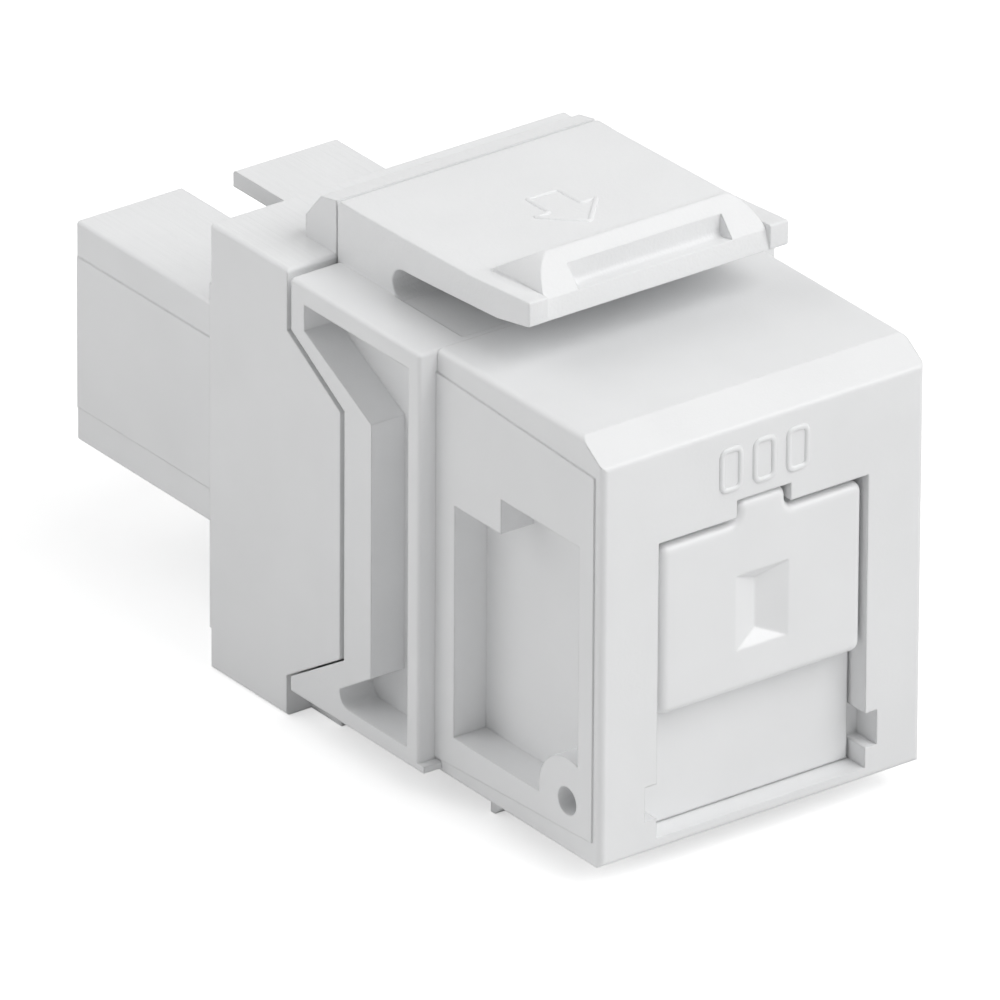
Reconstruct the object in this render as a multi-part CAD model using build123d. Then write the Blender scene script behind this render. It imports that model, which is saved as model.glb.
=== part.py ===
from build123d import *
from math import cos, radians, sin
import os

# Shuttered snap-in adapter that joins two square push-pull fibre plugs.
# Millimetres. +X is right seen from the front, +Y points to the rear port, +Z is up.
# The origin is on the fibre axis at the mating plane, where the two ferrules meet.

# Reach of the rear port, and of the clear part of each port, from the mating plane
rear_reach = 13.7
inner_port_reach = 7.30

# Nose, the part that passes through the wall plate
nose_width = 14.5
nose_length = 9.97
nose_bottom = -7.63
nose_top = 9.30
top_bevel_run = 1.35
top_bevel_drop = 0.90
nose_edge_radius = 0.25

# Opening in the nose's front face
opening_width = 9.44
opening_bottom = -7.13
opening_top = 4.77
key_width = 2.44
key_rise = 0.70

# Body behind the nose; its front shoulder seats on the back of the wall plate
body_width = 16.08
body_length = 7.85
body_bottom = -7.53
body_top = 9.25
body_edge_radius = 0.15
lip_reach = 0.35
lip_height = 0.26

# Side frames of the body, with open recesses inside them
frame_depth = 1.50
top_rim = 0.78
bottom_rim = 0.65
front_rib = 0.68
rear_rim = 0.80
strut_width = 1.65
foot_radius = 0.56

# Spigot of the front housing, which plugs into the rear housing
spigot_length = 2.68
spigot_bottom = -6.88
spigot_top = 7.97

# Rear housing: flange, side wings, bottom tongue and the block behind the latch
flange_length = 4.80
flange_bottom = -8.68
flange_top = 9.47
seam_gap = 0.26
fit_gap = 0.06
wing_reach = 3.28
wing_height = 14.06
wing_front_height = 10.05
notch_lift = 0.22
tongue_width = 13.84
tongue_reach = 1.88
stop_length = 1.88
stop_rise = 2.16
stop_slope = 0.20
stop_bevel_run = 0.92
stop_bevel_drop = 1.10

# Rear socket
socket_width = 11.92
socket_height = 9.03
port_width = 9.24
port_height = 7.70
slot_length = 9.70
panel_height = 6.20
panel_relief = 0.06
panel_margin = 0.90
plug_key_rise = 0.85

# Side pockets and the pivot boss of the nose
pocket_depth = 1.39
pocket_front = 1.30
pocket_rear = 8.80
pocket_step = 6.00
pocket_bottom = -5.93
pocket_top = 4.87
pocket_low_top = 3.47
boss_radius = 1.72

# Shutter and its pivot pin
pivot_depth = 1.91
pivot_height = -5.62
pin_radius = 0.54
pin_recess = 0.80
pin_hole_clearance = 0.01
pivot_clearance = 0.04
channel_height = 1.40
channel_depth = 0.53
channel_length = 1.21
shutter_recess = 0.05
shutter_side_gap = 0.18
shutter_top_gap = 0.28
skin_side_gap = 0.11
skin_depth = 0.95
skin_thickness = 0.55
block_bottom = -2.33
block_thickness = 2.25
shutter_floor_gap = 0.05
barrel_radius = 1.40
barrel_side_gap = 0.20
key_tab_gap = 0.12
shutter_edge_radius = 0.35
shutter_corner_radius = 0.36
dimple_width = 2.40
dimple_height = 3.05
dimple_center = 0.86
dimple_depth = 0.44
dimple_inset = 0.51
dimple_floor_width = 0.06

# Torsion spring of the shutter, in a round pocket of the left wall
spring_wire = 0.22
spring_mean_radius = 0.95
spring_turns = 2.75
spring_pitch = 0.25
spring_pocket_radius = 1.25
spring_pocket_depth = 1.03
spring_tang = 0.95
tang_clearance = 0.05
coil_gap = 0.02

# Latch arm on top, and the slot under it
latch_width = 11.66
latch_root_length = 3.11
latch_root_rise = 2.41
heel_margin = 0.15
heel_drop = 0.35
latch_slot_height = 1.28
latch_slot_sink = 0.12
latch_thickness = 1.32
knuckle_rise = 0.08
knuckle_clearance = 0.04
latch_fold_depth = 9.90
latch_tip_depth = 6.35
latch_fold_rise = 0.20
latch_tip_rise = 0.50
latch_tip_thickness = 0.99
latch_bend_depth = 8.30
latch_bend_drop = 0.88
catch_width = 10.0
catch_crest_width = 8.40
catch_crest_depth = 7.75
catch_rise = 1.55
catch_knee_depth = 6.57
catch_knee_rise = 0.28
catch_foot_gap = 0.03
grip_width = 6.86
grip_mouth_rise = 1.07
grip_deep_depth = 7.34
grip_floor_rise = 0.16

# Lower fixed hook under the nose
hook_width = 13.0
hook_back_depth = 7.60
hook_run = 1.20
hook_flat = 0.25

# Ferrule sleeve and the clips that hold it
sleeve_bore_radius = 1.25
sleeve_wall = 0.35
sleeve_length = 11.4
sleeve_slit = 0.50
sleeve_clearance = 0.05
holder_wall = 0.50
holder_lip = 0.45
holder_lip_opening = 0.20
clip_flange_width = 10.8
clip_flange_height = 9.2
clip_flange_thickness = 1.00
clip_clearance = 0.10
hook_arm_length = 7.10
hook_arm_width = 3.00
hook_arm_thickness = 0.70
hook_arm_offset = 3.35
hook_barb = 0.60
hook_barb_length = 1.30
hook_tip_bevel = 0.20

# Stations along Y and half widths that follow from the sizes above
body_rear_y = -spigot_length
seat_y = body_rear_y - body_length
front_y = seat_y - nose_length
flange_y = body_rear_y + seam_gap
flange_rear_y = flange_y + flange_length
rear_y = rear_reach
cavity_y = -inner_port_reach
pivot_y = front_y + pivot_depth
nose_half = nose_width / 2
body_half = body_width / 2
core_half = body_half - frame_depth
opening_half = opening_width / 2
latch_half = latch_width / 2
heel_half = latch_half - heel_margin
knuckle_radius = latch_thickness / 2
latch_top = body_top + latch_root_rise
latch_front_y = body_rear_y - latch_root_length
knuckle_y = latch_front_y + knuckle_clearance
knuckle_z = latch_top + knuckle_rise - knuckle_radius
catch_crest_y = front_y + catch_crest_depth
catch_crest_z = latch_top + catch_rise
catch_knee_y = front_y + catch_knee_depth
catch_knee_z = latch_top + catch_knee_rise
sleeve_radius = sleeve_bore_radius + sleeve_wall
holder_bore_radius = sleeve_radius + sleeve_clearance
holder_radius = holder_bore_radius + holder_wall
holder_length = sleeve_length / 2 + sleeve_clearance + holder_lip


def block(x0, x1, y0, y1, z0, z1):
    """Box between two corners."""
    return Pos((x0 + x1) / 2, (y0 + y1) / 2, (z0 + z1) / 2) * Box(x1 - x0, y1 - y0, z1 - z0)


def slab(half, y0, y1, z0, z1):
    """Box centred on X = 0."""
    return block(-half, half, y0, y1, z0, z1)


def side_profile(points):
    """Closed face through (Y, Z) points on the plane X = 0."""
    return Plane.YZ * make_face(Polyline(*points, close=True))


def across(face, x0, x1):
    """Side profile carried from x0 to x1."""
    return extrude(Pos(x0, 0, 0) * face, amount=x1 - x0)


def rod_x(x0, x1, y, z, radius):
    """Round bar along X."""
    return Pos((x0 + x1) / 2, y, z) * Rot(0, 90, 0) * Cylinder(radius, x1 - x0)


def rod_y(y0, y1, radius):
    """Round bar along Y on the fibre axis."""
    return Pos(0, (y0 + y1) / 2, 0) * Rot(90, 0, 0) * Cylinder(radius, y1 - y0)


def both_sides(part):
    """A part and its mirror image across X = 0."""
    return part + mirror(part, about=Plane.YZ)


def edges_at(part, axis, value, along=None):
    """Edges that lie at one place along an axis, if wished only those along a direction."""
    chosen = part.edges().filter_by_position(axis, value - 0.001, value + 0.001)
    if along is not None:
        chosen = chosen.filter_by(along)
    return chosen


def wing_outline():
    """Side view of a wing: a trapezoid that points forward, centred on the fibre axis."""
    front = flange_y - wing_reach
    half, front_half = wing_height / 2, wing_front_height / 2
    return side_profile([
        (flange_rear_y, half), (flange_y, half), (front, front_half),
        (front, -front_half), (flange_y, -half), (flange_rear_y, -half),
    ])


def wing_notch_outline():
    """Wing outline grown by the visible seam, but close to the wing along its lower edge."""
    grown = offset(wing_outline(), amount=seam_gap, kind=Kind.INTERSECTION)
    return grown & (Pos(0, 0, notch_lift) * grown)


def recess_outline():
    """Open recess of a side frame, which follows the wing's notch at one strut's width."""
    rear = body_rear_y - rear_rim
    strut = flange_y - wing_reach - seam_gap - strut_width
    high = wing_height / 2 + rear_rim / 2
    low_rear = strut + strut_width + seam_gap
    outline = side_profile([
        (rear, body_top - top_rim), (rear, high), (strut, wing_front_height / 2 + seam_gap),
        (strut, -wing_front_height / 2), (low_rear, -wing_height / 2 + rear_rim),
        (low_rear, body_bottom + bottom_rim), (seat_y + front_rib, body_bottom + bottom_rim),
        (seat_y + front_rib, body_top - top_rim),
    ])
    foot = outline.vertices().sort_by_distance((0, low_rear, body_bottom + bottom_rim))[0]
    return fillet([foot], radius=foot_radius)


def nose_solid():
    """Nose with the sloped top front, before its openings."""
    face_top = nose_top - top_bevel_drop
    profile = side_profile([
        (front_y, nose_bottom), (front_y, face_top), (front_y + top_bevel_run, nose_top),
        (seat_y, nose_top), (seat_y, nose_bottom),
    ])
    nose = across(profile, -nose_half, nose_half)
    rims = edges_at(nose, Axis.Y, front_y) + edges_at(nose, Axis.Z, nose_top, Axis.Y)
    return fillet(rims, radius=nose_edge_radius)


def nose_pocket():
    """Pocket in the nose's left side, stepped at the top and cut round the pivot boss."""
    profile = side_profile([
        (front_y + pocket_front, pocket_bottom), (front_y + pocket_front, pocket_top),
        (front_y + pocket_step, pocket_top), (front_y + pocket_step, pocket_low_top),
        (front_y + pocket_rear, pocket_low_top), (front_y + pocket_rear, pocket_bottom),
    ])
    pocket = across(profile, -nose_half - panel_relief, -nose_half + pocket_depth)
    boss = rod_x(-nose_half - 1, -opening_half, pivot_y, pivot_height, boss_radius)
    return pocket - boss


def nose_panel():
    """Slightly raised left side panel of the nose, lower at the front than at the back."""
    front, half_margin = front_y + panel_margin / 2, panel_margin / 2
    profile = side_profile([
        (front, nose_bottom + panel_margin), (front, nose_top - panel_margin - half_margin),
        (seat_y, nose_top - panel_margin), (seat_y, nose_bottom + half_margin),
    ])
    return across(profile, -nose_half - panel_relief, -nose_half + panel_relief)


def body_solid():
    """Body with its bottom lip, side frames and recesses, before the bores."""
    body = slab(body_half, seat_y, body_rear_y, body_bottom, body_top)
    body = fillet(edges_at(body, Axis.Y, seat_y) + edges_at(body, Axis.Z, body_top, Axis.Y),
                  radius=body_edge_radius)
    body += slab(body_half, seat_y - lip_reach, seat_y + lip_reach, body_bottom, body_bottom + lip_height)
    outside = body_half + 1
    body -= both_sides(across(wing_notch_outline(), -outside, -core_half))
    body -= both_sides(across(recess_outline(), -outside, -core_half))
    return body


def latch_root():
    """Block that carries the latch arm, with a low heel that closes the seam behind it."""
    base = body_top - latch_slot_height / 2
    block_part = slab(latch_half, latch_front_y - latch_slot_height / 2, body_rear_y, base, latch_top)
    return block_part + slab(heel_half, body_rear_y - heel_drop, flange_y - fit_gap,
                             spigot_top - heel_drop, latch_top - heel_drop)


def latch_clearance():
    """Room for the arm: round-ended slot below it, round seat behind its knuckle, open above."""
    half, high = latch_half + knuckle_clearance, latch_top + 1
    slot_r = latch_slot_height / 2
    slot_y = latch_front_y - slot_r - knuckle_clearance
    slot_z = body_top - latch_slot_sink + slot_r
    room = rod_x(-half, half, slot_y, slot_z, slot_r)
    room += slab(half, seat_y + lip_reach, slot_y, slot_z - slot_r, high)
    room += slab(half, seat_y + lip_reach, latch_front_y, slot_z, high)
    room += rod_x(-half, half, knuckle_y, knuckle_z, knuckle_radius + knuckle_clearance)
    return room + slab(half, seat_y + lip_reach, knuckle_y, knuckle_z, high)


def lower_hook():
    """Fixed lip under the nose that goes behind the wall plate's lower edge."""
    back = front_y + hook_back_depth
    crest, front = back - hook_flat, back - hook_flat - hook_run
    profile = side_profile([
        (back, nose_bottom + nose_edge_radius), (back, flange_bottom), (crest, flange_bottom),
        (front, nose_bottom), (front, nose_bottom + nose_edge_radius),
    ])
    return across(profile, -hook_width / 2, hook_width / 2)


def front_bores():
    """Everything that is open inside the front housing: port, key way, clip seat and pivots."""
    start = front_y - 1
    spigot_end = 0
    key_half = key_width / 2
    port_half, port_up = port_width / 2, port_height / 2
    clip_y = -clip_flange_thickness
    cut = slab(opening_half, start, cavity_y, opening_bottom, opening_top)
    cut += slab(key_half, start, cavity_y, 0, opening_top + key_rise)
    cut += slab(port_half, cavity_y, spigot_end, -port_up, port_up)
    cut += slab(key_half, cavity_y, clip_y, 0, port_up + plug_key_rise)
    cut += slab(clip_flange_width / 2 + clip_clearance, clip_y, spigot_end,
                -clip_flange_height / 2 - clip_clearance, clip_flange_height / 2 + clip_clearance)
    cut += rod_x(-nose_half - 1, nose_half + 1, pivot_y, pivot_height, pin_radius + pin_hole_clearance)
    cut += slab(opening_half + channel_depth, start, front_y + channel_length,
                pivot_height - channel_height / 2, pivot_height + channel_height / 2)
    cut += rod_x(-opening_half - spring_pocket_depth, -opening_half + spring_wire, pivot_y,
                 pivot_height, spring_pocket_radius)
    x, y, z = fixed_tang_end()
    cut += rod_x(x - tang_clearance, spring_end_x(), y, z, spring_wire / 2 + tang_clearance)
    return cut


def make_front_housing():
    """Nose, body, latch root and spigot, moulded in one."""
    housing = nose_solid()
    housing += both_sides(nose_panel())
    housing -= both_sides(nose_pocket())
    housing += body_solid()
    housing += slab(core_half, seat_y, 0, spigot_bottom, spigot_top)
    housing += latch_root()
    housing += lower_hook()
    return housing - latch_clearance() - front_bores()


def make_latch_arm():
    """Springy arm with its catch; it starts in a round knuckle at the root block."""
    fold_y, tip_y = front_y + latch_fold_depth, front_y + latch_tip_depth
    tip_top = latch_top + latch_tip_rise
    profile = side_profile([
        (knuckle_y, knuckle_z + knuckle_radius), (fold_y, latch_top + latch_fold_rise),
        (tip_y, tip_top), (tip_y, tip_top - latch_tip_thickness),
        (front_y + latch_bend_depth, latch_top - latch_bend_drop),
        (knuckle_y, knuckle_z - knuckle_radius),
    ])
    arm = across(profile, -latch_half, latch_half)
    arm += rod_x(-latch_half, latch_half, knuckle_y, knuckle_z, knuckle_radius)
    arm -= slab(catch_width / 2, tip_y - 1, catch_crest_y, tip_top - latch_tip_thickness, catch_crest_z)
    return arm + catch_ridge() - grip_pocket()


def catch_front_y(height):
    """Y of the catch's sloping front at a height between its knee and its crest."""
    share = (catch_crest_z - height) / (catch_crest_z - catch_knee_z)
    return catch_crest_y + share * (catch_knee_y - catch_crest_y)


def catch_ridge():
    """Ridge across the arm that snaps behind the wall plate; its ends lean in to the crest."""
    foot_y = front_y + latch_tip_depth + catch_foot_gap
    profile = side_profile([
        (front_y + latch_fold_depth, latch_top + latch_fold_rise), (catch_crest_y, catch_crest_z),
        (catch_knee_y, catch_knee_z), (foot_y, latch_top + latch_tip_rise - latch_tip_thickness),
        (front_y + latch_bend_depth, latch_top - latch_bend_drop),
    ])
    half, crest_half = catch_width / 2, catch_crest_width / 2
    low = latch_top - latch_bend_drop - 1
    ends = Plane.XZ * make_face(Polyline(
        (-half, low), (-half, catch_knee_z), (-crest_half, catch_crest_z),
        (crest_half, catch_crest_z), (half, catch_knee_z), (half, low), close=True))
    return across(profile, -half, half) & extrude(ends, amount=-2 * front_y, both=True)


def grip_pocket():
    """Finger pocket in the catch's sloping front: an upright wall over a nearly level floor."""
    mouth_z = latch_top + grip_mouth_rise
    profile = side_profile([
        (catch_knee_y, catch_knee_z), (front_y + latch_tip_depth, mouth_z),
        (catch_front_y(mouth_z), mouth_z), (front_y + grip_deep_depth, latch_top + grip_floor_rise),
    ])
    return across(profile, -grip_width / 2, grip_width / 2)


def stop_block():
    """Block on the flange that backs up the latch's root, bevelled to the rear."""
    base, top = flange_top - body_edge_radius, flange_top + stop_rise
    end = flange_y + stop_length
    profile = side_profile([
        (flange_y, base), (flange_y, top), (end - stop_bevel_run, top - stop_slope),
        (end, top - stop_slope - stop_bevel_drop), (end, base),
    ])
    return across(profile, -latch_half, latch_half)


def make_rear_housing():
    """Flange with wings and tongue, and the open rear socket, moulded in one."""
    flange = slab(body_half, flange_y, flange_rear_y, flange_bottom, flange_top)
    rims = edges_at(flange, Axis.Z, flange_top) + edges_at(flange, Axis.Z, flange_bottom, Axis.Y)
    flange = fillet(rims + edges_at(flange, Axis.Y, flange_rear_y, Axis.Z), radius=body_edge_radius)
    flange += both_sides(across(wing_outline(), -body_half, -core_half - fit_gap))
    flange += slab(tongue_width / 2, flange_y - tongue_reach, flange_y + 1, flange_bottom,
                   body_bottom - fit_gap)
    flange += stop_block()
    flange -= slab(core_half + fit_gap, flange_y - wing_reach - 1, 0,
                   spigot_bottom - fit_gap, spigot_top + fit_gap)
    socket_half, socket_up = socket_width / 2, socket_height / 2
    socket = slab(socket_half, flange_rear_y - 1, rear_y, -socket_up, socket_up)
    rims = socket.edges().filter_by(Axis.Y) + edges_at(socket, Axis.Y, rear_y)
    socket = fillet(rims, radius=body_edge_radius)
    raised = slab(socket_half + panel_relief, flange_rear_y - 1, rear_y - body_edge_radius,
                  -panel_height / 2, panel_height / 2)
    housing = flange + socket + raised
    port_half, port_up = port_width / 2, port_height / 2
    housing -= slab(port_half, -1, rear_y + 1, -port_up, port_up)
    housing -= slab(clip_flange_width / 2 + clip_clearance, -1, clip_flange_thickness,
                    -clip_flange_height / 2 - clip_clearance, clip_flange_height / 2 + clip_clearance)
    return housing - slab(key_width / 2, rear_y - slot_length, rear_y + 1, 0, socket_up + 1)


def make_clip():
    """Sleeve holder with two flexing plug hooks, for the rear port."""
    half_w, half_h = clip_flange_width / 2, clip_flange_height / 2
    clip = slab(half_w, 0, clip_flange_thickness, -half_h, half_h)
    clip += rod_y(0, holder_length, holder_radius)
    inner = hook_arm_offset
    outer = inner + hook_arm_thickness
    barb = inner - hook_barb
    tip = hook_arm_length
    outline = Plane.XY * make_face(Polyline(
        (inner, 0), (outer, 0), (outer, tip - hook_barb_length / 2), (outer - hook_tip_bevel, tip),
        (inner, tip), (barb, tip - hook_barb_length / 2), (barb, tip - hook_barb_length),
        (inner, tip - hook_barb_length), close=True))
    arm = extrude(Pos(0, 0, -hook_arm_width / 2) * outline, amount=hook_arm_width)
    clip += both_sides(arm)
    clip -= rod_y(-1, holder_length - holder_lip, holder_bore_radius)
    return clip - rod_y(-1, holder_length + 1, sleeve_bore_radius + holder_lip_opening)


def make_sleeve():
    """Split ceramic sleeve that lines up the two ferrules."""
    half = sleeve_length / 2
    tube = rod_y(-half, half, sleeve_radius) - rod_y(-half - 1, half + 1, sleeve_bore_radius)
    return tube - slab(sleeve_slit / 2, -half - 1, half + 1, 0, sleeve_radius + 1)


def shutter_block():
    """Thick upper part of the shutter, in the plug's outline with its key tab."""
    half = opening_half - shutter_side_gap
    key_half = key_width / 2 - key_tab_gap
    top, key_top = opening_top - shutter_top_gap, opening_top + key_rise - key_tab_gap
    outline = Plane.XZ * make_face(Polyline(
        (-half, block_bottom), (-half, top), (-key_half, top), (-key_half, key_top),
        (key_half, key_top), (key_half, top), (half, top), (half, block_bottom), close=True))
    outline = fillet(outline.vertices(), radius=shutter_corner_radius)
    face_y = front_y + shutter_recess
    body = extrude(Pos(0, face_y + block_thickness, 0) * outline, amount=block_thickness)
    return fillet(edges_at(body, Axis.Y, face_y), radius=shutter_edge_radius)


def shutter_dimple():
    """Shallow hipped recess in the shutter's face, deepest along a short upright line."""
    face_y = front_y + shutter_recess
    w, h = dimple_width / 2, dimple_height / 2
    rim = Plane.XZ.offset(-face_y) * Pos(0, dimple_center) * Rectangle(2 * w, 2 * h)
    ridge = Rectangle(dimple_floor_width, 2 * (h - dimple_inset))
    return loft([rim, Plane.XZ.offset(-face_y - dimple_depth) * Pos(0, dimple_center) * ridge])


def make_shutter():
    """Shutter with thick block, thin lower skin and hinge barrel in one."""
    skin_half = opening_half - skin_side_gap
    skin_y = front_y + skin_depth
    foot = opening_bottom + shutter_floor_gap
    shutter = shutter_block() - shutter_dimple()
    shutter += slab(skin_half, skin_y, skin_y + skin_thickness, foot, block_bottom + 1)
    barrel_half = opening_half - barrel_side_gap
    barrel = rod_x(-barrel_half, barrel_half, pivot_y, pivot_height, barrel_radius)
    barrel += slab(barrel_half, skin_y, pivot_y, foot, pivot_height + barrel_radius)
    front = slab(barrel_half + 1, front_y - 1, skin_y, nose_bottom - 1, 0)
    shutter += barrel - front
    shutter -= rod_x(-opening_half, opening_half, pivot_y, pivot_height, pin_radius + pivot_clearance)
    x, y, z = moving_tang_end()
    hole = spring_wire / 2 + tang_clearance
    return shutter - rod_x(-opening_half, x + tang_clearance, y, z, hole)


def make_pin():
    """Hinge pin, held in both walls of the nose and sunk below their outer faces."""
    half = nose_half - pin_recess
    return rod_x(-half, half, pivot_y, pivot_height, pin_radius)


def spring_start_x():
    """X of the coil's inner end, close to the shutter."""
    return -opening_half - spring_wire / 2 - coil_gap


def spring_end_x():
    """X of the coil's outer end, deep in its pocket."""
    return spring_start_x() - spring_turns * spring_pitch


def tang_place(turns):
    """Y and Z of the wire's centre after a number of turns about the pivot."""
    angle = radians(45 + 360 * turns)
    return pivot_y + spring_mean_radius * sin(angle), pivot_height + spring_mean_radius * cos(angle)


def moving_tang_end():
    """End of the tang that enters the shutter's barrel."""
    y, z = tang_place(0)
    return spring_start_x() + spring_tang, y, z


def fixed_tang_end():
    """End of the tang that enters the housing."""
    y, z = tang_place(spring_turns)
    return spring_end_x() - spring_tang, y, z


def make_spring():
    """Torsion spring: a short coil about the pivot, with a straight tang along X at each end."""
    wire = spring_wire / 2
    height = spring_turns * spring_pitch
    helix = Helix(pitch=spring_pitch, height=height, radius=spring_mean_radius)
    coil = sweep(Plane(helix @ 0, z_dir=helix % 0) * Circle(wire), path=helix)
    spring = Pos(spring_start_x(), pivot_y, pivot_height) * Rot(0, -90, 0) * Rot(0, 0, 45) * coil
    x, y, z = moving_tang_end()
    spring += rod_x(spring_start_x(), x, y, z, wire) + Pos(spring_start_x(), y, z) * Sphere(wire)
    x, y, z = fixed_tang_end()
    return spring + rod_x(x, spring_end_x(), y, z, wire) + Pos(spring_end_x(), y, z) * Sphere(wire)


def make_parts():
    """Every named piece of the adapter."""
    rear_clip = make_clip()
    return {
        "front_housing": make_front_housing(),
        "latch_arm": make_latch_arm(),
        "rear_housing": make_rear_housing(),
        "shutter": make_shutter(),
        "hinge_pin": make_pin(),
        "shutter_spring": make_spring(),
        "front_clip": Rot(0, 0, 180) * rear_clip,
        "rear_clip": rear_clip,
        "alignment_sleeve": make_sleeve(),
    }


os.makedirs("parts", exist_ok=True)
for name, part in make_parts().items():
    export_step(part, f"parts/{name}.step")
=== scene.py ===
# %% [markdown]
# # A snap-in fibre adapter in moulded white plastic
# The object is 34 mm long, so everything is written in millimetres and turned into
# Blender's metres once, by `MM`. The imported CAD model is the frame: its nodes keep
# their places, and new pieces are fitted to them.

# %% Load the frame
from math import cos, pi, radians, sin

import bpy
import numpy as np
from mathutils import Matrix, Vector


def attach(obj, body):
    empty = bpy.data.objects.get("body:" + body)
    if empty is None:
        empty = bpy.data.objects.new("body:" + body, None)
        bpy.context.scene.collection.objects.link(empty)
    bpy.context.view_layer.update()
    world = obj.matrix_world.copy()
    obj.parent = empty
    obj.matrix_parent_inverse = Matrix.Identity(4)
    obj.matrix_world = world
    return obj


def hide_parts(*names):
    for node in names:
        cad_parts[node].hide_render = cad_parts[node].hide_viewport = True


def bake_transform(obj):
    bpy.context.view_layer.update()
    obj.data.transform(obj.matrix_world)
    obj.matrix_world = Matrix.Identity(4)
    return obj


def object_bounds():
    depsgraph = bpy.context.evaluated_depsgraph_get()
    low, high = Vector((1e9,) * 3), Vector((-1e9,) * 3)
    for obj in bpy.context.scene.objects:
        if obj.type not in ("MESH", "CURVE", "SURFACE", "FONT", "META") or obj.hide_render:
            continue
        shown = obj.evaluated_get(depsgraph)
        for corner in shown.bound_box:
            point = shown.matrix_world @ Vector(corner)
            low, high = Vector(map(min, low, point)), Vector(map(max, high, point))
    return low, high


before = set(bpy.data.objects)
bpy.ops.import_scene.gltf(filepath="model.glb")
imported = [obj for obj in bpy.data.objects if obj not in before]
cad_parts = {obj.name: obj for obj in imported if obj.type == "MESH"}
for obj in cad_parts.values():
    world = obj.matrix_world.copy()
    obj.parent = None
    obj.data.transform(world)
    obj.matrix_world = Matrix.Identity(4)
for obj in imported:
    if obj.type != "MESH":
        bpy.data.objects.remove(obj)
cad_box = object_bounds()
MM = 0.001

# %% [markdown]
# ## Camera
# The photograph was taken with a long lens from the front left, a good deal above the
# adapter. The camera could be placed by eye, but then every edge would be a little off. So
# the pinhole was solved from the edges of the nose, whose width is known. A long lens keeps
# the edges almost parallel: the focal length is 22.7 times the sensor.

# %% Camera
YAW, PITCH, ROLL = radians(36.634), radians(26.717), radians(0.318)
SENSOR, FOCAL_RATIO = 36.0, 22.704
STANDPOINT = (-0.442206, -0.599299, 0.371661)
ahead = np.array([sin(YAW) * cos(PITCH), cos(YAW) * cos(PITCH), -sin(PITCH)])
level = np.array([cos(YAW), -sin(YAW), 0.0])
upright = np.cross(level, ahead)
right = cos(ROLL) * level + sin(ROLL) * upright
up = -sin(ROLL) * level + cos(ROLL) * upright
lens = bpy.data.cameras.new("long_lens")
lens.sensor_width = SENSOR
lens.lens = SENSOR * FOCAL_RATIO
lens.clip_start, lens.clip_end = 0.05, 20.0
camera = bpy.data.objects.new("camera", lens)
bpy.context.collection.objects.link(camera)
turn = Matrix([[right[i], up[i], -ahead[i]] for i in range(3)]).to_4x4()
camera.matrix_world = Matrix.Translation(STANDPOINT) @ turn
bpy.context.scene.camera = camera
print("camera at", [round(v, 3) for v in camera.location])

# %% [markdown]
# ## Helpers for moulded shapes
# Most moulded parts are a side profile carried across the part. The profile's corners are
# never sharp: the mould's cutter leaves a radius. So a profile is written as corners, each
# with the length that its rounding takes from the two sides, and a helper turns all of them
# into arcs with the same number of points. The same count everywhere lets two profiles be
# mixed, which is how a catch grows out of a flat arm.

# %% Profiles with round corners
def unit(vectors):
    """Rows of an array, each scaled to length one."""
    return vectors / np.maximum(np.linalg.norm(vectors, axis=1), 1e-9)[:, None]


def rounded(corners, steps=6):
    """Closed outline through (u, v, reach) corners, each replaced by an arc of equal count.

    The arc runs from a, at the reach before the corner c, to b, at the reach after it, as
    the quadratic blend (1-t)^2 a + 2t(1-t) c + t^2 b, which touches both sides.
    """
    table = np.array(corners, float)
    c, reach = table[:, :2], table[:, 2:]
    a = c + unit(np.roll(c, 1, axis=0) - c) * reach
    b = c + unit(np.roll(c, -1, axis=0) - c) * reach
    t = np.linspace(0, 1, steps)[None, :, None]
    arcs = (1 - t) ** 2 * a[:, None] + 2 * t * (1 - t) * c[:, None] + t ** 2 * b[:, None]
    return arcs.reshape(-1, 2)


def outward(loop):
    """Unit normals of a closed outline: the mean of its two sides' directions, turned by 90
    degrees, away from the inside."""
    onward, arriving = np.roll(loop, -1, axis=0) - loop, loop - np.roll(loop, 1, axis=0)
    mean = unit(unit(onward) + unit(arriving))
    x, y = loop.T
    area = np.sum(x * np.roll(y, -1) - np.roll(x, -1) * y)
    return np.stack([mean[:, 1], -mean[:, 0]], axis=1) * np.sign(area)


square = rounded([(0, 0, 0.1), (1, 0, 0.1), (1, 1, 0.1), (0, 1, 0.1)])
print("a square with round corners has", len(square), "points")

# %% [markdown]
# ## From sections to a mesh
# A stack of sections, all with the same number of points, is a grid: one index runs along
# the stack and the other round the outline. Four neighbours on the grid make a face. Blender
# could bridge the sections by itself, but the grid keeps each face where the profile puts it.

# %% Mesh from a grid of sections
def grid_faces(rows, columns):
    """Four-cornered faces between neighbouring rows of a grid whose columns close up."""
    r, c = np.meshgrid(np.arange(rows - 1), np.arange(columns), indexing="ij")
    following = (c + 1) % columns
    quad = [r * columns + c, r * columns + following,
            (r + 1) * columns + following, (r + 1) * columns + c]
    return np.stack(quad, axis=-1).reshape(-1, 4)


def face_outwards(piece):
    """Turns the whole shell round if its signed volume, the sum of corner products, is negative."""
    mesh = piece.data
    mesh.calc_loop_triangles()
    corner = np.empty(len(mesh.loop_triangles) * 3, int)
    mesh.loop_triangles.foreach_get("vertices", corner)
    place = np.empty(len(mesh.vertices) * 3)
    mesh.vertices.foreach_get("co", place)
    a, b, c = np.moveaxis(place.reshape(-1, 3)[corner.reshape(-1, 3)], 1, 0)
    if np.einsum("ij,ij->i", a, np.cross(b, c)).sum() < 0:
        mesh.flip_normals()


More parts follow.
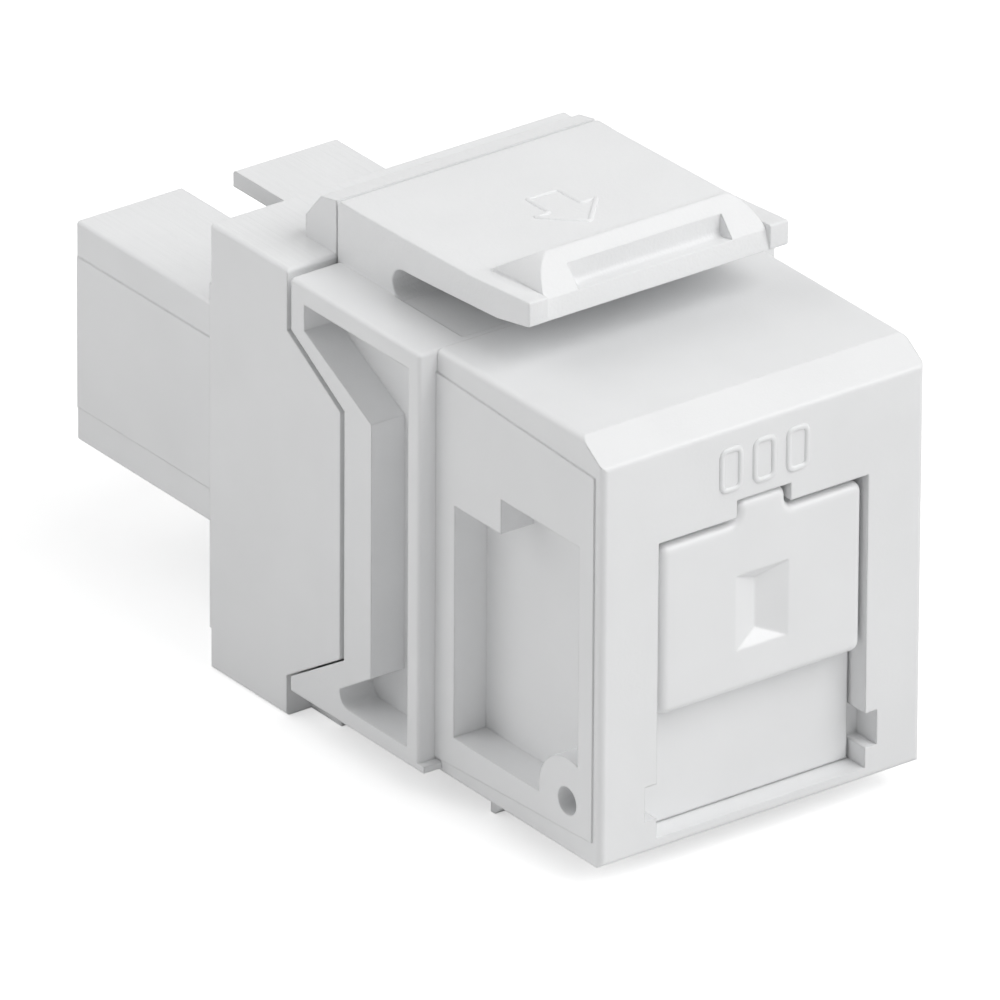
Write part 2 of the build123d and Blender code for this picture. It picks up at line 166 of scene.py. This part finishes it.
def piece_from_sections(name, sections, sharp=35, closed=False):
    """Object from an array of sections (rows, points, 3) in millimetres.

    Open stacks get a flat face at each end; a closed one joins its last row to its first.
    Edges that turn by more than `sharp` degrees stay sharp.
    """
    rows, columns, _ = sections.shape
    if closed:
        count = rows * columns
        faces = [[i % count for i in face] for face in grid_faces(rows + 1, columns).tolist()]
    else:
        faces = grid_faces(rows, columns).tolist()
        faces.append(list(range(columns))[::-1])
        faces.append(list(range((rows - 1) * columns, rows * columns)))
    mesh = bpy.data.meshes.new(name)
    mesh.from_pydata((sections.reshape(-1, 3) * MM).tolist(), [], faces)
    mesh.validate()
    piece = bpy.data.objects.new(name, mesh)
    bpy.context.collection.objects.link(piece)
    face_outwards(piece)
    mesh.shade_smooth()
    mesh.set_sharp_from_angle(angle=radians(sharp))
    return piece


print("three sections of eight points make", len(grid_faces(3, 8)), "faces")

# %% [markdown]
# ## Moulded white plastic
# The real part is a white engineering plastic. Its surfaces come from the mould: most were
# spark-eroded, which leaves a very fine grain, and a few were polished along one direction,
# which leaves faint streaks. Every edge has a small radius. All three could be modelled, but
# the CAD nodes keep their meshes, and the marks are far smaller than a face. So the material
# makes them: a Bevel node rounds the edges where light catches them, a fine noise gives the
# grain, and a noise that is stretched along Y gives the streaks, on upward faces only.

# %% Plastic material
PLASTIC_IOR = 1.49
GRAIN_SCALE, GRAIN_HEIGHT = 9000, 0.02 * MM
STREAK_SCALE, STREAK_HEIGHT = 3500, 0.06 * MM
DRIFT_SCALE = 220
PALER = 0.975


def principled(name):
    """New material with its node tree and its Principled shader."""
    material = bpy.data.materials.new(name)
    material.use_nodes = True
    return material, material.node_tree, material.node_tree.nodes["Principled BSDF"]


def value_range(tree, source, low, high, start=0.0, stop=1.0):
    """Map Range node from start..stop to low..high, fed by source."""
    node = tree.nodes.new("ShaderNodeMapRange")
    node.inputs["From Min"].default_value = start
    node.inputs["From Max"].default_value = stop
    node.inputs["To Min"].default_value = low
    node.inputs["To Max"].default_value = high
    tree.links.new(source, node.inputs["Value"])
    return node.outputs["Result"]


def combine(tree, operation, a, b):
    """Math node of that operation on two values."""
    node = tree.nodes.new("ShaderNodeMath")
    node.operation = operation
    tree.links.new(a, node.inputs[0])
    tree.links.new(b, node.inputs[1])
    return node.outputs["Value"]


def noise(tree, scale, stretch=(1, 1, 1), detail=2.0):
    """Noise on Object coordinates; scale is in bumps per metre, stretch slows it on an axis."""
    where = tree.nodes.new("ShaderNodeTexCoord")
    mapping = tree.nodes.new("ShaderNodeMapping")
    mapping.inputs["Scale"].default_value = stretch
    grain = tree.nodes.new("ShaderNodeTexNoise")
    grain.inputs["Scale"].default_value = scale
    grain.inputs["Detail"].default_value = detail
    tree.links.new(where.outputs["Object"], mapping.inputs["Vector"])
    tree.links.new(mapping.outputs["Vector"], grain.inputs["Vector"])
    return grain.outputs["Fac"]


def bumped(tree, height, normal, strength, distance):
    """Normal from a Bump node: that height on top of the normal that comes in."""
    bump = tree.nodes.new("ShaderNodeBump")
    bump.inputs["Strength"].default_value = strength
    bump.inputs["Distance"].default_value = distance
    tree.links.new(height, bump.inputs["Height"])
    tree.links.new(normal, bump.inputs["Normal"])
    return bump.outputs["Normal"]


def streak_height(tree):
    """Noise drawn out along Y, scaled by how far the face looks upwards."""
    lines = noise(tree, STREAK_SCALE, stretch=(1, 0.02, 1), detail=3)
    facing = tree.nodes.new("ShaderNodeNewGeometry")
    split = tree.nodes.new("ShaderNodeSeparateXYZ")
    tree.links.new(facing.outputs["Normal"], split.inputs["Vector"])
    upward = value_range(tree, split.outputs["Z"], low=0, high=1, start=0.9, stop=0.99)
    return combine(tree, "MULTIPLY", lines, upward)


def moulded(name, colour, roughness, grain=0.25, streaks=0.0, edge=0.10):
    """Plastic with edges rounded to a radius in mm, a fine grain and, if asked, streaks.

    Tint and roughness drift slowly over the piece, by a few percent.
    """
    material, tree, shader = principled(name)
    shader.inputs["IOR"].default_value = PLASTIC_IOR
    fine, broad = noise(tree, GRAIN_SCALE), noise(tree, DRIFT_SCALE)
    tint = tree.nodes.new("ShaderNodeMix")
    tint.data_type = "RGBA"
    tint.inputs["A"].default_value = (*[c * PALER for c in colour], 1)
    tint.inputs["B"].default_value = (*colour, 1)
    share = value_range(tree, broad, low=0, high=1, start=0.35, stop=0.6)
    tree.links.new(share, tint.inputs["Factor"])
    tree.links.new(tint.outputs["Result"], shader.inputs["Base Color"])
    rough = value_range(tree, broad, roughness * 0.9, roughness * 1.1, start=0.3, stop=0.7)
    tree.links.new(rough, shader.inputs["Roughness"])
    soft = tree.nodes.new("ShaderNodeBevel")
    soft.samples = 6
    soft.inputs["Radius"].default_value = edge * MM
    normal = bumped(tree, fine, soft.outputs["Normal"], grain, GRAIN_HEIGHT)
    if streaks:
        normal = bumped(tree, streak_height(tree), normal, streaks, STREAK_HEIGHT)
    tree.links.new(normal, shader.inputs["Normal"])
    return material


WHITE = (0.86, 0.865, 0.87)
front_plastic = moulded("front_plastic", WHITE, 0.32, grain=0.25)
rear_plastic = moulded("rear_plastic", WHITE, 0.32, grain=0.10, streaks=1.0)
latch_plastic = moulded("latch_plastic", (0.88, 0.885, 0.89), 0.46, grain=0.8, edge=0.06)
shutter_plastic = moulded("shutter_plastic", (0.865, 0.87, 0.875), 0.32, grain=0.12, edge=0.15)
clip_plastic = moulded("clip_plastic", (0.74, 0.73, 0.69), 0.45, grain=0.2)
print("plastics:", [m.name for m in bpy.data.materials])

# %% [markdown]
# ## Steel and ceramic
# The spring is drawn wire: bright, with fine lines along the wire that only show as a
# slightly brushed gloss. The pin is ground rod. The ferrule sleeve is ground ceramic, white
# and smooth, with a strong clear gloss. Lines as fine as these could be bumps, but at this
# size they only widen the highlight, so a drift in roughness stands for them.

# %% Metal and ceramic materials
def ground(name, colour, metallic, roughness):
    """Principled material whose roughness drifts by a quarter over the piece."""
    material, tree, shader = principled(name)
    shader.inputs["Base Color"].default_value = (*colour, 1)
    shader.inputs["Metallic"].default_value = metallic
    lines = noise(tree, scale=2500, stretch=(0.1, 1, 1))
    drift = value_range(tree, lines, roughness * 0.75, roughness * 1.25, start=0.3, stop=0.7)
    tree.links.new(drift, shader.inputs["Roughness"])
    return material


wire_steel = ground("wire_steel", (0.60, 0.60, 0.61), metallic=1.0, roughness=0.28)
ground_ceramic = ground("ground_ceramic", (0.84, 0.84, 0.82), metallic=0.0, roughness=0.14)
print("materials so far:", len(bpy.data.materials))

# %% [markdown]
# ## Finishes
# The CAD model already has the moulded shapes of the housings, the shutter and the pieces
# inside. They could be modelled again here, but then two descriptions of one shape would
# have to agree. So each node keeps its mesh and gets a material. The latch and the spring
# get one too, although new skins stand in for them further down.

# %% Finishes for the CAD nodes
finishes = {
    "front_housing": front_plastic, "rear_housing": rear_plastic, "shutter": shutter_plastic,
    "hinge_pin": wire_steel, "front_clip": clip_plastic, "rear_clip": clip_plastic,
    "alignment_sleeve": ground_ceramic, "latch_arm": latch_plastic, "shutter_spring": wire_steel,
}
for node, finish in finishes.items():
    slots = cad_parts[node].data.materials
    slots.clear()
    slots.append(finish)
print("finished nodes:", len(finishes))

# %% [markdown]
# ## The latch
# The latch is a springy arm that grows out of a block on the body, with a slot under it so
# that it can bend. Near its tip a ridge stands across it: a ramp at the back, which holds the
# wall plate, and a slope at the front, over which the plate's edge pushes it down. The
# ridge's ends round off to the crest, a finger pocket is sunk into its slope, and the arm
# runs on past it as a small ear on each side.
# It could be built by joining boxes, but then each seam needs its own fillet. Here one
# closed side profile changes as it goes across the part: plain arm, arm with a ridge of a
# given height, and ridge with pocket. All three have the same corners in the same order, so
# ridge and pocket are the same skin as the arm.

# %% Side profiles of the latch, as (Y, Z, reach) with the origin on the fibre axis
ROOT_BACK, ROOT_TOP, ROOT_FOOT = -2.49, 11.66, 9.00
BEND, ARM_SLOPE = (-5.75, 11.73), 0.0268
FOLD, APEX, KNEE = np.array((-10.60, 11.86)), np.array((-12.75, 13.26)), np.array((-13.93, 11.94))
CREST_Z, MOUTH_Z, DEEP = 13.21, 12.73, (-13.17, 11.83)
EAR_SLOPE, EAR_TIP, TIP_LOW = 0.085, (-14.15, 12.16), 11.17
SLOT_MIDDLE, SLOT_RADIUS = np.array((-6.50, 9.77)), 0.64


def arm_top(y):
    """Height of the arm's top, a straight line through the bend."""
    return BEND[1] - (y - BEND[0]) * ARM_SLOPE


def at_height(low, high, z):
    """Point at height z on the straight line from low to high."""
    return low + (high - low) * (z - low[1]) / (high[1] - low[1])


def ear_front():
    """Corners of the plain arm from the fold to the tip's lower edge."""
    top = [(y, FOLD[1] - (y - FOLD[0]) * EAR_SLOPE, 0.02) for y in (-10.90, -13.40, -13.60, -13.80)]
    return top + [(*EAR_TIP, 0.10), (EAR_TIP[0], TIP_LOW, 0.10)]


def ridge_front(height, pocket=False):
    """Corners of the ridge, cut level at a share of its full height.

    The cut meets the ramp and the slope where their lines reach that height. The pocket's
    corners lie on the slope, unless the pocket is asked for.
    """
    z = KNEE[1] + (CREST_Z - KNEE[1]) * height
    back, front = at_height(FOLD, APEX, z), at_height(KNEE, APEX, z)
    mouth, deep = front + (KNEE - front) * 0.38, front + (KNEE - front) * 0.69
    if pocket:
        mouth, deep = at_height(KNEE, APEX, MOUTH_Z), np.array(DEEP)
    soft = 0.012 + 0.05 * height
    scoop = 0.30 if pocket else 0.02
    ridge_top = [(*back, soft), (*front, soft)]
    return ridge_top + [(*mouth, 0.02), (*deep, scoop), (*KNEE, 0.03), (-14.12, TIP_LOW, 0.06)]


def latch_profile(front):
    """Closed side profile: root block, the arm's top, a front, the underside, the slot's end."""
    root = [(ROOT_BACK, ROOT_FOOT, 0.02), (ROOT_BACK, ROOT_TOP, 0.20)]
    top = [(y, arm_top(y), 0.12) for y in (-5.40, -5.75, -6.10, -6.50)] + [(*FOLD, 0.25)]
    under = [(-12.20, 10.78, 0.15), (-8.20, 10.50, 0.80), (-7.00, 10.43, 0.10)]
    turn = np.radians(np.linspace(90, -80, 11))
    slot_end = SLOT_MIDDLE + SLOT_RADIUS * np.stack([np.cos(turn), np.sin(turn)], axis=1)
    slot = [(y, z, 0.03) for y, z in slot_end] + [(-6.35, ROOT_FOOT, 0.02)]
    return rounded(root + top + front + under + slot, steps=5)


print("points in each latch profile:", len(latch_profile(ear_front())))

# %% [markdown]
# ## The latch's skin
# The ridge's end, seen from the front, is a quarter of a soft curve: it stands upright on
# the ear and leans in to the crest. A station's distance from the middle follows from the
# height that the ridge has reached there. Past the ears' faces the outline is drawn in along
# its own normals by a quarter circle, which rounds the arm's long side edges. A fillet could
# be cut afterwards instead, but it would break where the pocket and the ears begin.

# %% Latch mesh
def latch_sections(half=5.84, edge=0.06, ridge_end=4.05, lean=0.93, power=1.5, pocket_end=3.43):
    """Sections across X from the middle outwards, then mirrored.

    Ridge end: x = ridge_end + lean * (1 - height^power)^(1/power).
    """
    heights = np.array([1.0, 0.985, 0.95, 0.90, 0.82, 0.73, 0.62, 0.50, 0.36, 0.20, 0.06])
    ridge_x = ridge_end + lean * (1 - heights ** power) ** (1 / power)
    with_pocket = latch_profile(ridge_front(1, pocket=True))
    full, ear = latch_profile(ridge_front(1)), latch_profile(ear_front())
    quarter = np.linspace(0, pi / 2, 5)
    drawn = [ear - outward(ear) * edge * (1 - cos(q)) for q in quarter]
    x = [0.0, 1.2, 2.4, pocket_end, pocket_end + 0.03, 3.75, *ridge_x, 5.00, 5.40,
         *(half - edge * (1 - np.sin(quarter)))]
    flat = [with_pocket] * 4 + [full] * 2 + [latch_profile(ridge_front(h)) for h in heights]
    flat = np.stack(flat + [ear] * 2 + drawn)
    x = np.concatenate([-np.array(x[:0:-1]), x])
    flat = np.concatenate([flat[:0:-1], flat])
    return np.concatenate([np.broadcast_to(x[:, None, None], flat.shape[:2] + (1,)), flat], axis=2)


latch = piece_from_sections("latch", latch_sections(), sharp=40)
latch.data.materials.append(latch_plastic)
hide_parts("latch_arm")
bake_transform(latch)
print("latch:", len(latch.data.polygons), "faces")

# %% [markdown]
# ## The shutter's spring
# A torsion spring turns about the shutter's pin. One straight end sits in the housing, the
# other in the shutter. A Screw modifier could make the coil, but not the bends into the two
# ends. So the wire's centre line is drawn by its direction alone: it leaves along X, swings
# round into the coil, and at the far end swings back to X. Adding up the small steps gives
# the line, as one would bend the wire. The coil winds up when the shutter opens.

# %% Spring mesh
PIVOT_Y, PIVOT_Z = -18.59, -5.62
WIRE_RADIUS, WIRE_START, WIRE_STEP = 0.11, -3.93, 0.02


def spring_line(coil_radius=0.95, turns=2.75, bend=0.22, tang=0.80, pitch=0.25, first=45):
    """Centre line of the wire, and the direction out of the coil at each of its points.

    The heading is 0 along X and near 90 degrees in the coil.
    """
    lead = np.arctan(pitch / (2 * pi * coil_radius))
    coil = turns * 2 * pi * coil_radius
    corner = bend * pi / 2
    steps = np.arange(0, tang * 2 + corner * 2 + coil, WIRE_STEP)
    heading = np.interp(
        steps, [tang, tang + corner, tang + corner + coil, tang + 2 * corner + coil],
        [0, pi / 2 - lead, pi / 2 - lead, 0])
    x = WIRE_START - np.cumsum(np.cos(heading)) * WIRE_STEP
    angle = radians(first) + np.cumsum(np.sin(heading)) * WIRE_STEP / coil_radius
    spoke = np.stack([np.zeros_like(x), np.sin(angle), np.cos(angle)], axis=1)
    axle = np.stack([x, np.full_like(x, PIVOT_Y), np.full_like(x, PIVOT_Z)], axis=1)
    return spoke * coil_radius + axle, spoke


def tube(name, line, spoke, radius, sides=12):
    """Round wire: each section is centre + radius (cos t * spoke + sin t * side)."""
    side = unit(np.cross(unit(np.gradient(line, axis=0)), spoke))
    t = np.linspace(0, 2 * pi, sides, endpoint=False)[None, :, None]
    ring = (np.cos(t) * spoke[:, None] + np.sin(t) * side[:, None]) * radius
    return piece_from_sections(name, line[:, None] + ring, sharp=60)


wire_line, wire_spoke = spring_line()
spring = tube("torsion_spring", wire_line[::3], wire_spoke[::3], WIRE_RADIUS)
spring.data.materials.append(wire_steel)
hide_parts("shutter_spring")
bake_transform(spring)
wire_x = wire_line[:, 0]
print("spring reaches from X", round(wire_x.min(), 2), "to", round(wire_x.max(), 2), "mm")

# %% [markdown]
# ## Raised marks
# Moulded marks are thin raised lines. They could be bumps in the material, but a bump has no
# outline from the side. So a line is a flat, half-round ridge that follows a path on the
# surface. Here the latch carries an arrow and the front a row of bars, which say nothing but
# show how such a mark catches the light.

# %% Ridge helper and marks
FRONT_Y, MARK_FOOT = -20.5, -0.04
ARROW_ROUND, BAR_ROUND = 0.12, 0.28
BAR_HALF, BAR_LOW, BAR_HIGH = 0.42, 6.0, 7.6


def ridge(name, loop, place, width, height):
    """Closed ridge on a surface: the loop is widened along its normals and raised as a half
    ellipse.

    place turns (u, v, height) into a point of the row frame.
    """
    across = np.linspace(-1, 1, 7)
    rise = np.sqrt(np.maximum(1 - across ** 2, 0)) * height
    flat = loop[:, None] + outward(loop)[:, None] * (across * width / 2)[None, :, None]
    top = place(flat[..., 0], flat[..., 1], np.broadcast_to(rise[None, :], flat.shape[:2]))
    foot = flat[:, [-1, 0]]
    sunk = place(foot[..., 0], foot[..., 1], np.full(foot.shape[:2], MARK_FOOT))
    return piece_from_sections(name, np.concatenate([top, sunk], axis=1), sharp=50, closed=True)


def on_latch(u, v, h):
    """A point on the latch's sloping top: u is X, v is Y, h is the height above the plastic."""
    return np.stack([u, v, arm_top(v) + h], axis=-1)


def on_front(u, v, h):
    """A point on the front face: u is X, v is Z, h is the height above the plastic."""
    return np.stack([u, FRONT_Y - h, v], axis=-1)


arrow = rounded([
    (-0.35, -6.6, ARROW_ROUND), (1.05, -6.6, ARROW_ROUND), (1.05, -8.0, ARROW_ROUND),
    (1.75, -8.0, ARROW_ROUND), (0.35, -9.5, 0.15), (-1.05, -8.0, ARROW_ROUND),
    (-0.35, -8.0, ARROW_ROUND),
], steps=6)
arrow_mark = ridge("latch_mark", arrow, on_latch, width=0.20, height=0.07)
arrow_mark.data.materials.append(latch_plastic)
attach(arrow_mark, "latch")
for index, x in enumerate((-1.5, 0.0, 1.5)):
    bar = rounded([
        (x - BAR_HALF, BAR_LOW, BAR_ROUND), (x + BAR_HALF, BAR_LOW, BAR_ROUND),
        (x + BAR_HALF, BAR_HIGH, BAR_ROUND), (x - BAR_HALF, BAR_HIGH, BAR_ROUND),
    ], steps=7)
    mark = ridge(f"front_mark_{index + 1}", bar, on_front, width=0.24, height=0.08)
    mark.data.materials.append(front_plastic)
    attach(mark, "housing")
print("corners of a bar's outline:", len(bar))

# %% [markdown]
# ## Floor
# The adapter lies on white paper, which shows a faint shadow. Strong lamps could turn the
# paper white, but they would clip the white plastic too. So the paper glows a little, for
# the camera's rays alone, and no light from that glow reaches the adapter.

# %% Floor
FLOOR_HALF, FLOOR_GAP, PAPER_GLOW = 1.2, 0.02 * MM, 0.50
floor_z = cad_box[0].z - FLOOR_GAP
floor_mesh = bpy.data.meshes.new("floor")
floor_mesh.from_pydata(
    [(x * FLOOR_HALF, y * FLOOR_HALF, floor_z) for x, y in ((-1, -1), (1, -1), (1, 1), (-1, 1))],
    [], [(0, 1, 2, 3)])
floor = bpy.data.objects.new("floor", floor_mesh)
bpy.context.collection.objects.link(floor)
paper, sheet, matt = principled("white_paper")
matt.inputs["Base Color"].default_value = (0.86, 0.86, 0.86, 1)
matt.inputs["Roughness"].default_value = 0.9
glow = sheet.nodes.new("ShaderNodeEmission")
ray = sheet.nodes.new("ShaderNodeLightPath")
glow_seen = value_range(sheet, ray.outputs["Is Camera Ray"], low=0, high=PAPER_GLOW)
sheet.links.new(glow_seen, glow.inputs["Strength"])
both = sheet.nodes.new("ShaderNodeAddShader")
sheet.links.new(matt.outputs["BSDF"], both.inputs[0])
sheet.links.new(glow.outputs["Emission"], both.inputs[1])
sheet.links.new(both.outputs["Shader"], sheet.nodes["Material Output"].inputs["Surface"])
floor_mesh.materials.append(paper)
print("floor at Z", round(floor_z / MM, 2), "mm")

# %% [markdown]
# ## Light
# White plastic shows its shape by differences in light alone: the three visible sides read
# as three greys. One lamp could give them, but the sides that it misses would go dark. So a
# large key lamp stands in front, to the right and above, two weaker ones behind and on the
# left, and one overhead. All are far wider than the adapter, which keeps the shadows soft.

# %% Lamps
def soft_lamp(name, place, size, power):
    """Square area lamp, its size in metres and its power in watts, aimed at the origin."""
    data = bpy.data.lights.new(name, "AREA")
    data.size, data.energy = size, power
    lamp = bpy.data.objects.new(name, data)
    bpy.context.collection.objects.link(lamp)
    lamp.location = place
    lamp.rotation_mode = "QUATERNION"
    lamp.rotation_quaternion = Vector(place).to_track_quat("Z", "Y")


soft_lamp("key_lamp", (0.26, -0.45, 0.55), size=0.60, power=4.0)
soft_lamp("back_lamp", (-0.40, 0.45, 0.42), size=0.70, power=1.2)
soft_lamp("side_lamp", (-0.60, 0.32, 0.22), size=0.60, power=0.74)
soft_lamp("top_lamp", (-0.05, 0.15, 0.60), size=0.60, power=0.55)
print("lamps:", len(bpy.data.lights))

# %% [markdown]
# ## Sky
# The picture's background is plain white. A sky that is white for every ray would also light
# the plastic evenly and flatten the three greys. So the sky is white only for the rays that
# come from the camera, or from a gloss or a clear piece, and dim for the light that it casts.

# %% Sky
SKY_LIGHT, SKY_SEEN = 0.23, 1.0
world = bpy.data.worlds.new("studio")
bpy.context.scene.world = world
world.use_nodes = True
tree = world.node_tree
dim, white = tree.nodes["Background"], tree.nodes.new("ShaderNodeBackground")
for sky, strength in ((dim, SKY_LIGHT), (white, SKY_SEEN)):
    sky.inputs["Color"].default_value = (1, 1, 1, 1)
    sky.inputs["Strength"].default_value = strength
path = tree.nodes.new("ShaderNodeLightPath")
seen = path.outputs["Is Camera Ray"]
for kind in ("Is Glossy Ray", "Is Transmission Ray"):
    seen = combine(tree, "MAXIMUM", seen, path.outputs[kind])
mix = tree.nodes.new("ShaderNodeMixShader")
tree.links.new(seen, mix.inputs["Fac"])
tree.links.new(dim.outputs["Background"], mix.inputs[1])
tree.links.new(white.outputs["Background"], mix.inputs[2])
tree.links.new(mix.outputs["Shader"], tree.nodes["World Output"].inputs["Surface"])
bpy.context.scene.view_settings.view_transform = "Standard"
print("sky strength:", SKY_LIGHT)
